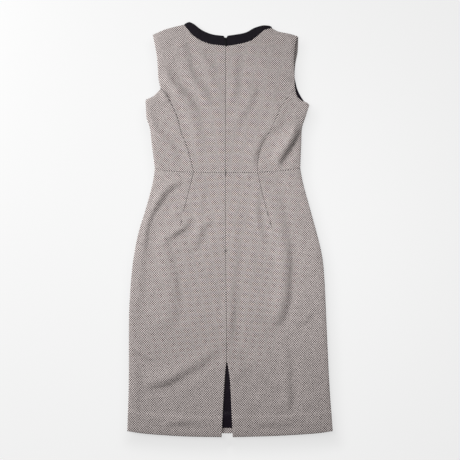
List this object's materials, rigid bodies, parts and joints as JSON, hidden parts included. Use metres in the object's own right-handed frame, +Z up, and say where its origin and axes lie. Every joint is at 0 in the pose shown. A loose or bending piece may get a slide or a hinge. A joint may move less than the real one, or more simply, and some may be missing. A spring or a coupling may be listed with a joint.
{
  "type": "shift dress",
  "caption": "Sleeveless fitted knee-length dress lying flat on its front, with a contrast neckband, a concealed back zip with a turning pull tab, and an open back vent.",
  "frame": {"origin": "on the surface that the dress lies on, under the middle of its outline", "axes": "+X to the right across the dress seen from above, +Y from the hem towards the neck, +Z up, out of the back of the dress"},
  "size_m": [0.4976, 1.0442, 0.0123],
  "materials": {
    "suiting": "small two-tone cream and charcoal check weave, matt, with soft creases",
    "black_cloth": "black crepe, matt",
    "black_lining": "black taffeta lining, faint sheen",
    "zip_tape": "black woven zip tape",
    "black_metal": "black enamel, satin"
  },
  "bodies": {
    "dress": {"front_bodice": "suiting", "front_skirt": "suiting", "front_neckband": "black_cloth", "back_bodice_centre_left": "suiting", "back_bodice_centre_right": "suiting", "back_bodice_side_left": "suiting", "back_bodice_side_right": "suiting", "back_skirt_left": "suiting", "back_skirt_right": "suiting", "back_neckband_left": "black_cloth", "back_neckband_right": "black_cloth", "skirt_lining": "black_lining", "armhole_lining_right": "black_lining", "zip_tape": "zip_tape", "zip_slider": "black_metal"},
    "pull": {"zip_pull": "black_metal"}
  },
  "joints": [
    {"name": "pull_hinge", "type": "hinge", "parent": "dress", "child": "pull", "pos_m": [-0.011, 0.4785, 0.007], "axis": [-1, 0, 0], "range_deg": [0, 160]}
  ]
}
